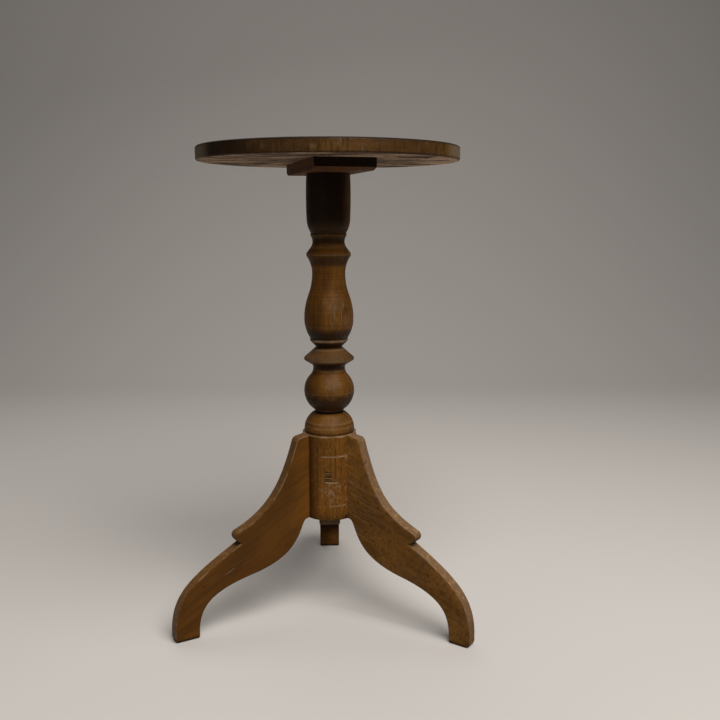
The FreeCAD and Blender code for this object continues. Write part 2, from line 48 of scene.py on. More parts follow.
# Bearings about the pillar and slopes of the grain in degrees. All other sizes are in metres, and all
# places are measured from the pillar's axis and the floor.
BEARER_BEARING = 102.0
BEARER_HALF_LENGTH = 0.113
LEG_BEARING = {"leg_rear": 90.0, "leg_left": 207.7, "leg_right": 324.3}
LEG_HALF = {"leg_rear": 0.01775, "leg_left": 0.00975, "leg_right": 0.01025}
LEG_GRAIN_SLOPE = {"leg_rear": 28.0, "leg_left": 28.0, "leg_right": 19.0}
LEG_TOP = 0.288

# Levels on the pillar that are rubbed pale: level, half width, strength.
RUBBED_LEVELS = (
    (0.2878, 0.0016, 0.9),
    (0.2990, 0.0026, 0.3),
    (0.3060, 0.0022, 0.25),
    (0.3242, 0.0018, 0.7),
    (0.3530, 0.0018, 0.15),
    (0.3868, 0.0022, 0.35),
    (0.4028, 0.0030, 0.35),
    (0.4190, 0.0024, 0.3),
    (0.4330, 0.0026, 1.0),
    (0.5640, 0.0020, 0.65),
    (0.5750, 0.0030, 0.3),
    (0.5930, 0.0016, 0.45),
)
# Scribed lines on the base, worn only towards the right: level, half width and strength, and where
# along X the wear starts. It comes in over one short run.
SCRIBED_LINES = (((0.2570, 0.0021, 1.0), -0.018), ((0.1780, 0.0021, 0.75), -0.008))
SCRIBED_RUN = 0.01
# Hollows of the pillar: old wax and dirt, deepened by painted shade under the ring and beads. Level, half
# width, strength.
DIRTY_AND_SHADED_LEVELS = (
    (0.2905, 0.0030, 0.6),
    (0.3212, 0.0030, 0.95),
    (0.3945, 0.0090, 0.98),
    (0.4262, 0.0072, 0.97),
    (0.4415, 0.0150, 0.9),
    (0.5550, 0.0120, 0.75),
    (0.5850, 0.0080, 0.85),
    (0.5985, 0.0045, 0.6),
)
# Short notches struck across the front of the base, and their rubbed edges: level, half width, strength.
NOTCHES = (
    (0.2322, 0.0016, 0.8),
    (0.2285, 0.0014, 0.7),
    (0.2250, 0.0017, 1.0),
    (0.2215, 0.0014, 0.8),
    (0.2181, 0.0014, 0.9),
)
NOTCH_EDGES = ((0.2304, 0.0009, 0.4), (0.2232, 0.0010, 0.5), (0.2160, 0.0017, 1.0))
# The upper notches end sooner at the right than the lowest one, by this much.
UPPER_NOTCH_CUT = 0.0095
# Spots on the turned part, in the order in which they are laid on: point, radius, strength, shade, and
# whether the spot is pale. The pale ones are painted highlights at the front, broken up like rubbed wear;
# the others are painted shade on the left of the ball and the vase.
TURNED_SPOTS = (
    ((-0.028, -0.024, 0.366), 0.024, 0.45, 0.2, False),
    ((0.006, -0.036, 0.371), 0.019, 0.4, 0.5, True),
    ((0.008, -0.036, 0.492), 0.022, 0.35, 0.5, True),
    ((0.004, -0.034, 0.307), 0.024, 0.35, 0.36, True),
    ((-0.036, -0.016, 0.466), 0.036, 0.4, 0.25, False),
)
# Other spots: point and radius. The sawn part of a leg is measured out along the leg.
# The flecked belly is where pale flecks also paint a sheen on the vase's right front.
FLECKED_BELLY = ((0.022, -0.024, 0.470), 0.034)
PALE_BASE = ((0.003, -0.042, 0.203), 0.026)
DARK_NICK = ((0.0265, -0.0325, 0.157), 0.006)
SAWN_PART = ((0.07, 0.0, 0.2), 0.06)

# Fades: where something is still absent, and where it is full. By level on the pillar:
BASE_PART = (LEG_TOP + 0.002, LEG_TOP)
BASE_SHOULDER = (0.252, 0.268)
BASE_SHADE = (0.175, 0.163)
BASE_FOOT = (0.164, 0.1555)
UPPER_NOTCHES = (0.2165, 0.2185)
BALL_FOOT = (0.3215, 0.3235)
# Painted shade on the lower half of the ball, with a ragged upper edge:
BALL_UNDER_SHADE = (0.3555, 0.3435)
BELOW_RING = (0.42, 0.405)
RING_FROM = (0.4, 0.405)
RING_TO = (0.4225, 0.42)
# Painted shade on the upper shaft, under the top:
SHAFT_SHADE = (0.575, 0.615)
JOINT_TOP = (LEG_TOP + 0.0005, LEG_TOP - 0.002)
# Across the pillar, to the right, to the front, and out towards a leg:
# Where the painted shade on the upper shaft eases off towards its lit right side:
SHAFT_LIT_SIDE = (0.019, 0.03)
NOTCH_LEFT = (-0.0085, -0.0055)
NOTCH_RIGHT = (0.0145, 0.0105)
BASE_FRONT = (-0.01, -0.02)
JOINT_OUT = (0.0, 0.01)
# Out along a leg, up it, and from its face inwards:
LEG_SHADE = (0.03, 0.085)
LEG_SHADE_END = (0.15, 0.235)
NOSE_PART = (0.13, 0.145)
SOLE_DARK_BAND = (0.007, 0.0008)
EDGE_INSET = (0.0006, 0.002)
ARRIS_FROM = (0.0017, 0.001)
ARRIS_TO = (0.00002, 0.0002)
# Along the scratch on the left leg, across the leg, and on either side of each line:
SCRATCH_LENGTH = (0.0095, 0.006)
SCRATCH_FACE = (0.0, 0.004)
SCRATCH_PALE = (0.0011, 0.0004)
SCRATCH_DARK = (0.0012, 0.0004)
# On the top, by distance from the axis, by level and along X:
FLAT_PART = (TOP_RADIUS - 0.0022, TOP_RADIUS - 0.0032)
UNDER_FACE = (TOP_LOW.z + 0.002, TOP_LOW.z + 0.0005)
UPPER_FACE = (TOP_HIGH.z - 0.002, TOP_HIGH.z - 0.0005)
# Painted shade along the rim's upper arris, by level:
UPPER_ARRIS_SHADE = (TOP_HIGH.z - 0.004, TOP_HIGH.z - 0.0016)
PALE_UNDER = (0.125, 0.165)
# Painted shade on the rim along X, darker to the left and in a band right of the middle:
RIM_LEFT_SHADE = (0.0, -0.03)
RIM_FAR_LEFT_SHADE = (-0.07, -0.13)
RIM_SHADE_BAND_FROM = (0.04, 0.075)
RIM_SHADE_BAND_TO = (0.17, 0.13)
# Painted highlights at the rim's ends, by distance from the axis along X:
RIM_END_SHEEN = (0.159, 0.176)
RIM_END_HIGHLIGHT = (0.186, 0.192)
# On the split under the top, across it and along X:
SPLIT_WIDTH = (0.013, 0.006)
SPLIT_DEEP = (0.092, 0.104)
SPLIT_FROM = (0.066, 0.074)
SPLIT_TO = (0.144, 0.137)
FAR_SPLIT_FROM = (0.152, 0.156)
FAR_SPLIT_TO = (0.169, 0.163)
# On the bearer, by distance from its middle and by level:
BEARER_END = (BEARER_HALF_LENGTH - 0.001, BEARER_HALF_LENGTH - 0.0004)
ABOVE_BEVEL = (BEARER_LOW.z + 0.003, BEARER_LOW.z + 0.0045)

# Middle and slope of the scratch on the left leg, and how far its lines lie to each side. Place of the split.
SCRATCH_MIDDLE = (0.1755, 0.0, 0.0955)
SCRATCH_SLOPE = 28.0
SCRATCH_SPREAD = 0.0007
SPLIT_FRONT = 0.085

# Floor and backdrop.
FLOOR_HALF_WIDTH = 6.0
FLOOR_FRONT = -4.0
FLOOR_DEPTH = 7.0
BACKDROP_HEIGHT = 5.0
FLOOR_SWEEP = 1.4
FLOOR_SWEEP_SEGMENTS = 24
# Lamps: azimuth and elevation in degrees, distance, and size. They face the table's middle.
TABLE_MIDDLE_LEVEL = 0.35
KEY_LAMP = (28.0, 57.0, 2.3, 1.9)
FILL_LAMP = (-50.0, 12.0, 2.2, 1.4)
BACK_LAMP = (198.0, 62.0, 2.3, 1.8)
LAMP_COLOUR = (1.0, 0.97, 0.93)
SURROUND_COLOUR = (1.0, 0.97, 0.94, 1.0)
# Camera: place from the pillar's axis and the floor, turns in degrees, sensor in millimetres, and shift.
CAMERA_PLACE = (-0.0026, -1.25346, 0.62669)
CAMERA_DOWN = 10.223
CAMERA_RIGHT = 1.656
CAMERA_SENSOR = 36.0
CAMERA_SHIFT = 0.01283


def colour_property(name, description, default):
    """A colour that a user may change."""
    return FloatVectorProperty(
        name=name, description=description, subtype="COLOR", size=3, min=0.0, max=1.0, default=default
    )


class TableFinish(PropertyGroup):
    """Colours and wear of the wood and the iron."""

    pillar_colour: colour_property("Pillar", "Waxed wood of the turned pillar", (0.19, 0.076, 0.0105))
    left_leg_colour: colour_property("Left leg", "Golden wood of the left leg", (0.168, 0.062, 0.005))
    right_leg_colour: colour_property("Right leg", "Paler, mottled wood", (0.252, 0.108, 0.018))
    rear_leg_colour: colour_property("Rear leg", "Wood of the rear leg", (0.19, 0.076, 0.016))
    left_edge_colour: colour_property("Left leg's edge", "Sawn edge of the left leg", (0.21, 0.1, 0.028))
    right_edge_colour: colour_property("Right leg's edge", "Pale sawn edge", (0.28, 0.162, 0.08))
    top_colour: colour_property("Top", "Waxed wood of the top's face", (0.115, 0.05, 0.012))
    rim_colour: colour_property("Rim", "Darker wood of the top's rim", (0.09, 0.039, 0.007))
    underside_colour: colour_property("Underside", "Bare wood under the top", (0.335, 0.231, 0.155))
    bearer_colour: colour_property("Bearer", "Wood of the bearer", (0.09, 0.033, 0.006))
    # Worn wood is also the colour of painted highlights: on the turned part, at the rim's ends and on the
    # left leg's arris.
    worn_and_highlight_colour: colour_property("Worn wood", "Edges rubbed back to pale wood", (0.46, 0.32, 0.19))
    # Grime is also the near black of painted shade: in the pillar's hollows, under the legs' noses and on the
    # bearer's end.
    grime_and_shade_colour: colour_property("Grime", "Old wax and dirt in the hollows", (0.01, 0.004, 0.001))
    iron_colour: colour_property("Iron", "Screw heads", (0.09, 0.08, 0.07))
    rust_colour: colour_property("Rust", "Bloom on the screw heads", (0.09, 0.035, 0.014))
    wear: FloatProperty(
        name="Wear",
        description="How far the edges are rubbed",
        subtype="FACTOR",
        min=0.0,
        max=1.0,
        default=0.75,
    )


class TableStage(PropertyGroup):
    """Floor, lamps and camera."""

    floor_colour: colour_property("Floor", "Plain pale floor and backdrop", (0.66, 0.63, 0.6))
    bounce_colour: colour_property("Floor's bounce", "What the floor throws back", (0.3, 0.28, 0.26))
    key_power: FloatProperty(
        name="Key lamp", description="Large soft lamp at the right front", unit="POWER", min=0.0, default=62.0
    )
    fill_power: FloatProperty(
        name="Fill lamp", description="Weak soft lamp at the left front", unit="POWER", min=0.0, default=1.2
    )
    back_power: FloatProperty(
        name="Back lamp", description="Weak soft lamp behind the table", unit="POWER", min=0.0, default=12.0
    )
    surround: FloatProperty(
        name="Surround", description="Even light from all round", min=0.0, max=2.0, default=0.045
    )
    lens: FloatProperty(
        name="Lens", description="Focal length of the camera", unit="CAMERA", min=1.0, default=41.057
    )


class Bench:
    """Sets nodes out in one tree and joins them."""

    def __init__(self, tree):
        self.tree = tree

    def feed(self, socket, value):
        if isinstance(value, bpy.types.NodeSocket):
            self.tree.links.new(value, socket)
        else:
            socket.default_value = value

    def put(self, kind, feeds=None, **settings):
        node = self.tree.nodes.new(kind)
        for name, setting in settings.items():
            setattr(node, name, setting)
        for key, value in (feeds or {}).items():
            self.feed(node.inputs[key], value)
        return node

    def use(self, tree, **feeds):
        """Place a shared group with its own values, and return its outputs."""
        node = self.put("ShaderNodeGroup", node_tree=tree)
        for name, value in feeds.items():
            self.feed(node.inputs[name.capitalize()], value)
        return node.outputs

    def math(self, operation, *values):
        return self.put("ShaderNodeMath", dict(enumerate(values)), operation=operation).outputs[0]

    def plus(self, first, second):
        return self.math("ADD", first, second)

    def minus(self, first, second):
        return self.math("SUBTRACT", first, second)

    def times(self, first, *others):
        for other in others:
            first = self.math("MULTIPLY", first, other)
        return first

    def most(self, values):
        """The largest of some values at each point."""
        largest = values[0]
        for value in values[1:]:
            largest = self.math("MAXIMUM", largest, value)
        return largest

    def share(self, first, part, second):
        """One part of the first value and the rest of the second."""
        return self.plus(self.times(first, part), self.times(second, 1.0 - part))

    def at_least(self, mask, least):
        """A mask that never falls below a share."""
        return self.plus(least, self.times(mask, 1.0 - least))

    def without(self, mask, part):
        """Everything less a part of a mask."""
        return self.minus(1.0, self.times(mask, part))

    def size(self, value):
        """A value without its sign."""
        return self.math("ABSOLUTE", value)

    def scaled(self, vector, scale):
        return self.put("ShaderNodeVectorMath", {0: vector, 1: scale}, operation="MULTIPLY").outputs[0]

    def moved(self, vector, move):
        return self.put("ShaderNodeVectorMath", {0: vector, 1: move}, operation="ADD").outputs[0]

    def length(self, vector):
        return self.put("ShaderNodeVectorMath", {0: vector}, operation="LENGTH").outputs["Value"]

    def split(self, vector):
        return self.put("ShaderNodeSeparateXYZ", {0: vector}).outputs

    def join(self, x, y, z):
        return self.put("ShaderNodeCombineXYZ", {0: x, 1: y, 2: z}).outputs[0]

    def turned(self, vector, axis, degrees):
        """Turn a vector about one of the axes through the origin."""
        turn = [math.radians(degrees) if name == axis else 0.0 for name in "XYZ"]
        return self.put("ShaderNodeMapping", {"Vector": vector, "Rotation": turn}).outputs[0]

    def fade(self, value, start, end):
        """Rise smoothly from 0 at the start to 1 at the end."""
        feeds = {"Value": value, "From Min": start, "From Max": end}
        return self.put("ShaderNodeMapRange", feeds, interpolation_type="SMOOTHSTEP").outputs[0]

    def noise(self, vector, scale=1.0, detail=3.0, roughness=0.55):
        feeds = {"Vector": vector, "Scale": scale, "Detail": detail, "Roughness": roughness}
        return self.put("ShaderNodeTexNoise", feeds).outputs[0]

    def ramp(self, value, stops):
        node = self.put("ShaderNodeValToRGB", {0: value})
        elements = node.color_ramp.elements
        while len(elements) < len(stops):
            elements.new(1.0)
        for element, (position, colour) in zip(elements, stops):
            element.position = position
            element.color = colour
        return node.outputs[0]

    def tones(self, value, colour, dark, light):
        """A wood colour that runs from darker to lighter with a value."""
        stops = [(0.12, paint(colour, dark)), (0.5, paint(colour)), (0.88, paint(colour, light))]
        return self.ramp(value, stops)

    def blend(self, factor, first, second):
        feeds = {0: factor, 6: first, 7: second}
        return self.put("ShaderNodeMix", feeds, data_type="RGBA").outputs[2]

    def tint(self, colour, mask, strength, other):
        """Lay another colour over the first where a mask says, at a strength."""
        return self.blend(self.times(mask, strength), colour, other)


def paint(colour, shade=1.0):
    """A colour as a socket takes it, made lighter or darker by a share."""
    return (colour[0] * shade, colour[1] * shade, colour[2] * shade, 1.0)


def shared_group(name, inputs, outputs, lay_out):
    """A shader node group, laid out the first time that it is asked for."""
    found = bpy.data.node_groups.get(name)
    if found:
        return found
    tree = bpy.data.node_groups.new(name, "ShaderNodeTree")
    for socket, default in inputs.items():
        kind = "NodeSocketVector" if default is None else "NodeSocketFloat"
        made = tree.interface.new_socket(name=socket, in_out="INPUT", socket_type=kind)
        if default is not None:
            made.default_value = default
    for socket in outputs:
        tree.interface.new_socket(name=socket, in_out="OUTPUT", socket_type="NodeSocketFloat")
    bench = Bench(tree)
    given = bench.put("NodeGroupInput").outputs
    made = lay_out(bench, given)
    target = bench.put("NodeGroupOutput").inputs
    for socket, value in zip(outputs, made):
        bench.feed(target[socket], value)
    return tree


def timber_grain():
    """Streaks, pores and slow drift of wood whose grain runs along X."""

    def lay_out(bench, given):
        seed = given["Seed"]
        place = bench.moved(given["Vector"], bench.join(seed, bench.times(seed, 1.7), seed))
        bend = bench.noise(bench.scaled(place, (6.0, 20.0, 20.0)), detail=2.0)
        sway = bench.times(bench.minus(bend, 0.5), 0.016)
        bent = bench.moved(place, bench.join(0.0, sway, sway))
        broad = bench.noise(bench.scaled(bent, (5.0, 170.0, 170.0)), detail=4.0, roughness=0.6)
        fine = bench.noise(bench.scaled(bent, (14.0, 620.0, 620.0)), roughness=0.6)
        streaks = bench.fade(bench.share(broad, 0.6, fine), 0.33, 0.67)
        pores = bench.fade(bench.noise(bench.scaled(bent, (55.0, 1400.0, 1400.0)), detail=2.0), 0.58, 0.7)
        drift = bench.fade(bench.noise(bench.scaled(place, (7.0, 24.0, 24.0))), 0.3, 0.7)
        return streaks, pores, drift

    return shared_group("timber grain", {"Vector": None, "Seed": 0.0}, ["Streaks", "Pores", "Drift"], lay_out)


def patches():
    """Uneven blotches, from a few to all over, such as stains, rubbing and mottling."""

    def lay_out(bench, given):
        scale = bench.join(given["Scale"], given["Scale"], given["Scale"])
        blot = bench.noise(bench.scaled(given["Vector"], scale), detail=5.0, roughness=0.65)
        edge = bench.minus(0.78, bench.times(given["Cover"], 0.56))
        return [bench.fade(blot, edge, bench.plus(edge, 0.16))]

    return shared_group("patches", {"Vector": None, "Scale": 50.0, "Cover": 0.5}, ["Patches"], lay_out)


def tool_strokes():
    """Fine strokes that run along X, such as saw, rasp and scraper marks."""

    def lay_out(bench, given):
        stretch = bench.join(given["Along"], given["Across"], given["Across"])
        lines = bench.noise(bench.scaled(given["Vector"], stretch), detail=2.0, roughness=0.6)
        edge = bench.minus(0.78, bench.times(given["Cover"], 0.5))
        return [bench.fade(lines, edge, bench.plus(edge, 0.1))]

    inputs = {"Vector": None, "Along": 20.0, "Across": 800.0, "Cover": 0.4}
    return shared_group("tool strokes", inputs, ["Strokes"], lay_out)


def knocks():
    """Scattered small dents, each of its own size."""

    def lay_out(bench, given):
        feeds = {"Vector": given["Vector"], "Scale": given["Scale"]}
        cells = bench.put("ShaderNodeTexVoronoi", feeds).outputs
        chance = bench.split(cells["Color"])
        kept = bench.math("LESS_THAN", chance[0], given["Share"])
        size = bench.plus(0.08, bench.times(chance[1], 0.2))
        dent = bench.fade(cells["Distance"], size, bench.times(size, 0.3))
        return [bench.times(dent, kept)]

    return shared_group("knocks", {"Vector": None, "Scale": 90.0, "Share": 0.3}, ["Dents"], lay_out)


def level_band():
    """A soft band round one level, such as a worn bead, a scribed line or a dirty hollow."""

    def lay_out(bench, given):
        away = bench.size(bench.minus(given["Height"], given["Level"]))
        band = bench.fade(away, given["Width"], bench.times(given["Width"], 0.25))
        return [bench.times(band, given["Strength"])]

    inputs = {"Height": 0.0, "Level": 0.0, "Width": 0.002, "Strength": 1.0}
    return shared_group("level band", inputs, ["Band"], lay_out)


def blotches(bench, vector, scale, cover):
    """The shared patches, at a scale and a cover."""
    return bench.use(patches(), vector=vector, scale=scale, cover=cover)["Patches"]


def stroked(bench, vector, along, across, cover):
    """The shared tool strokes, at a scale along and across them and a cover."""
    return bench.use(tool_strokes(), vector=vector, along=along, across=across, cover=cover)["Strokes"]


def bands(bench, height, levels, breakup=None):
    """All the bands of a list of levels, broken up where a mask is given."""
    made = []
    for level, width, strength in levels:
        given = strength if breakup is None else bench.times(breakup, strength)
        made.append(bench.use(level_band(), height=height, level=level, width=width, strength=given)["Band"])
    return bench.most(made)


def near(bench, place, point, radius):
    """A soft spot round a point that is measured from the pillar."""
    away = bench.length(bench.moved(place, tuple(-each for each in point)))
    return bench.fade(away, radius, radius * 0.4)


def leg_place(bench, place, leg):
    """The place on the table turned so that X runs out along a leg, Y across it and Z up."""
    return bench.turned(place, "Z", -LEG_BEARING[leg])


def new_material(name):
    """An empty material, its bench, its shader and the place on the table measured from the pillar."""
    material = bpy.data.materials.new(name)
    material.use_nodes = True
    material.node_tree.nodes.clear()
    bench = Bench(material.node_tree)
    shader = bench.put("ShaderNodeBsdfPrincipled")
    bench.put("ShaderNodeOutputMaterial", {"Surface": shader.outputs[0]})
    coordinates = bench.put("ShaderNodeTexCoord").outputs["Object"]
    feeds = {"Vector": coordinates, "Location": (-AXIS.x, -AXIS.y, 0.0)}
    place = bench.put("ShaderNodeMapping", feeds).outputs[0]
    return material, bench, shader, place


def dress(bench, shader, colour, roughness, height, depth, gloss):
    """Feed a shader its colour, its sheen and the relief of its surface."""
    shader.inputs["Specular IOR Level"].default_value = gloss
    bench.feed(shader.inputs["Base Color"], colour)
    bench.feed(shader.inputs["Roughness"], roughness)
    bump = bench.put("ShaderNodeBump", {"Height": height, "Strength": 0.8, "Distance": depth})
    bench.feed(shader.inputs["Normal"], bump.outputs[0])


def assign(node, material):
    """Give a piece of the frame one material all over."""
    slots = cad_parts[node].material_slots
    if not slots:
        raise RuntimeError(f"{node} has no material slot")
    for slot in slots:
        slot.material = material


def pillar_material(finish):
    """Turned wood: upright grain, lathe rings, rubbed beads, dark hollows, and painted shade and highlights.
    """
    material, bench, shader, place = new_material("turned pillar")
    x, y, z = bench.split(place)
    colour = finish.pillar_colour
    worn_and_highlight = finish.worn_and_highlight_colour
    grime_and_shade = paint(finish.grime_and_shade_colour)
    upright = bench.join(z, x, y)
    grain = bench.use(timber_grain(), vector=upright, seed=3.1)
    wood = bench.tones(bench.share(grain["Streaks"], 0.5, grain["Drift"]), colour, 0.5, 1.4)
    turned_part = bench.minus(1.0, bench.fade(z, *BASE_PART))
    middle_part = bench.times(turned_part, bench.fade(z, *BELOW_RING))
    rings = bench.noise(bench.scaled(place, (9.0, 9.0, 480.0)), roughness=0.65)
    ring_lines = bench.times(bench.fade(rings, 0.42, 0.64), turned_part, bench.without(middle_part, 0.5))
    wood = bench.tint(wood, ring_lines, 0.45, paint(colour, 0.4))
    smoky = blotches(bench, bench.scaled(place, (1.0, 1.0, 1.6)), 34.0, 0.5)
    wood = bench.tint(wood, bench.times(middle_part, bench.at_least(smoky, 0.4)), 0.5, paint(colour, 0.35))
    rub = blotches(bench, place, 70.0, 0.55)
    wood = turned_wear_and_light(bench, finish, place, upright, z, rub, wood)
    wood = base_wear(bench, finish, place, upright, z, smoky, wood)
    # Old dirt in the hollows, with painted shade under the ring and beads, laid on almost black.
    wood = bench.tint(wood, bands(bench, z, DIRTY_AND_SHADED_LEVELS), 0.95, grime_and_shade)
    dust = bench.times(joint_band(bench, place, "leg_right", 0.004), rub)
    wood = bench.tint(wood, dust, 0.65, paint(worn_and_highlight, 0.85))
    uneven = bench.at_least(rub, 0.4)
    wood = bench.tint(wood, bands(bench, z, RUBBED_LEVELS, uneven), finish.wear, paint(worn_and_highlight))
    for line, begin in SCRIBED_LINES:
        kept = bench.times(uneven, bench.fade(x, begin, begin + SCRIBED_RUN))
        wood = bench.tint(wood, bands(bench, z, [line], kept), finish.wear, paint(worn_and_highlight))
    # Painted shade: the strip of the base beside the left leg, where the leg shades it.
    wood = bench.tint(wood, joint_band(bench, place, "leg_left", 0.02), 0.72, paint(colour, 0.24))
    # Painted shade: the upper shaft under the top darkened almost to black, less on its lit right side.
    shaft_shade = bench.times(bench.fade(z, *SHAFT_SHADE), bench.without(bench.fade(x, *SHAFT_LIT_SIDE), 0.75))
    wood = bench.tint(wood, shaft_shade, 0.94, paint(colour, 0.04))
    wood = bench.tint(wood, near(bench, place, *DARK_NICK), 0.9, grime_and_shade)
    roughness = bench.plus(0.46, bench.times(rub, 0.16))
    relief = bench.plus(bench.times(grain["Streaks"], 0.4), bench.times(rings, turned_part, 0.6))
    relief = bench.minus(relief, bench.plus(bench.times(grain["Pores"], 0.4), notches(bench, place, NOTCHES)))
    dress(bench, shader, wood, roughness, relief, 0.0007, 0.14)
    return material


def turned_wear_and_light(bench, finish, place, upright, z, rub, wood):
    """Wear and painted light of the turned part: dull ring, painted shade on the lower half of the ball,
    spots of painted highlight and shade, and pale flecks that also paint a sheen.
    """
    colour = finish.pillar_colour
    worn_and_highlight = finish.worn_and_highlight_colour
    ring_face = bench.times(bench.fade(z, *RING_FROM), bench.fade(z, *RING_TO))
    wood = bench.tint(wood, bench.times(ring_face, bench.at_least(rub, 0.55)), 0.62, paint(worn_and_highlight, 0.17))
    # Painted shade: the lower half of the ball darkened, its edge made ragged.
    ragged = bench.minus(bench.noise(bench.scaled(place, (60.0, 60.0, 90.0))), 0.5)
    ragged_level = bench.plus(z, bench.times(ragged, 0.022))
    ball_low = bench.times(bench.fade(ragged_level, *BALL_UNDER_SHADE), bench.fade(z, *BALL_FOOT))
    wood = bench.tint(wood, bench.times(ball_low, bench.at_least(rub, 0.85)), 0.94, paint(colour, 0.07))
    # Painted highlights at the front and painted shade on the left side, spot after spot.
    for point, radius, strength, shade, pale in TURNED_SPOTS:
        spot = near(bench, place, point, radius)
        if pale:
            spot = bench.times(spot, bench.at_least(rub, 0.3))
        wood = bench.tint(wood, spot, strength, paint(worn_and_highlight if pale else colour, shade))
    # Pale flecks on the vase's right front, partly real flecks and partly a painted sheen.
    flecks = stroked(bench, upright, 40.0, 420.0, 0.5)
    return bench.tint(wood, bench.times(flecks, near(bench, place, *FLECKED_BELLY)), 0.5, paint(worn_and_highlight, 0.6))


def base_wear(bench, finish, place, upright, z, smoky, wood):
    """Wear of the base: short flecks, a paler patch low down, notches and a darker foot."""
    colour = finish.pillar_colour
    worn_and_highlight = finish.worn_and_highlight_colour
    shoulder = bench.times(bench.fade(z, *BASE_PART), bench.fade(z, *BASE_SHOULDER))
    wood = bench.tint(wood, shoulder, 0.25, paint(colour, 0.35))
    wood = bench.tint(wood, base_flecks(bench, upright, z, 380.0, 0.0), 0.3, paint(colour, 2.3))
    wood = bench.tint(wood, base_flecks(bench, upright, z, 430.0, 0.5), 0.5, paint(colour, 0.25))
    specks = blotches(bench, bench.moved(place, (0.5, 0.3, 0.2)), 150.0, 0.55)
    wood = bench.tint(wood, bench.times(near(bench, place, *PALE_BASE), specks), 0.5, paint(worn_and_highlight, 0.7))
    wood = bench.tint(wood, notches(bench, place, NOTCHES), 0.95, paint(colour, 0.08))
    wood = bench.tint(wood, notches(bench, place, NOTCH_EDGES), 0.75, paint(worn_and_highlight, 0.8))
    wood = bench.tint(wood, bench.fade(z, *BASE_SHADE), 0.3, paint(colour, 0.3))
    foot = bench.times(bench.fade(z, *BASE_FOOT), bench.at_least(smoky, 0.5))
    return bench.tint(wood, foot, 0.8, paint(colour, 0.15))


def base_flecks(bench, upright, z, across, offset):
    """Short upright flecks on the base of the pillar."""
    vector = bench.moved(upright, (offset, offset, 0.0))
    flecks = stroked(bench, vector, 110.0, across, 0.5)
    fine = stroked(bench, vector, 150.0, across * 1.9, 0.52)
    return bench.times(bench.most([flecks, bench.times(fine, 0.7)]), bench.fade(z, *BASE_PART))


def notches(bench, place, levels):
    """Short ragged marks struck across the front of the base, left of its middle."""
    x, y, z = bench.split(place)
    ragged = bench.noise(bench.scaled(place, (170.0, 170.0, 170.0)), roughness=0.7)
    bend = bench.times(bench.minus(ragged, 0.5), 0.0045)
    struck = bands(bench, bench.plus(z, bench.plus(bend, bench.times(x, 0.06))), levels)
    left = bench.fade(bench.plus(x, bend), *NOTCH_LEFT)
    cut = bench.times(bench.fade(z, *UPPER_NOTCHES), UPPER_NOTCH_CUT)
    right = bench.fade(bench.plus(x, cut), *NOTCH_RIGHT)
    return bench.times(struck, left, right, bench.fade(y, *BASE_FRONT))


def joint_band(bench, place, leg, width):
    """The strip of the pillar beside a leg's joint, fading out over a width."""
    out, across, up = bench.split(leg_place(bench, place, leg))
    side = bench.fade(bench.size(across), LEG_HALF[leg] + width, LEG_HALF[leg])
    return bench.times(side, bench.fade(out, *JOINT_OUT), bench.fade(up, *JOINT_TOP))


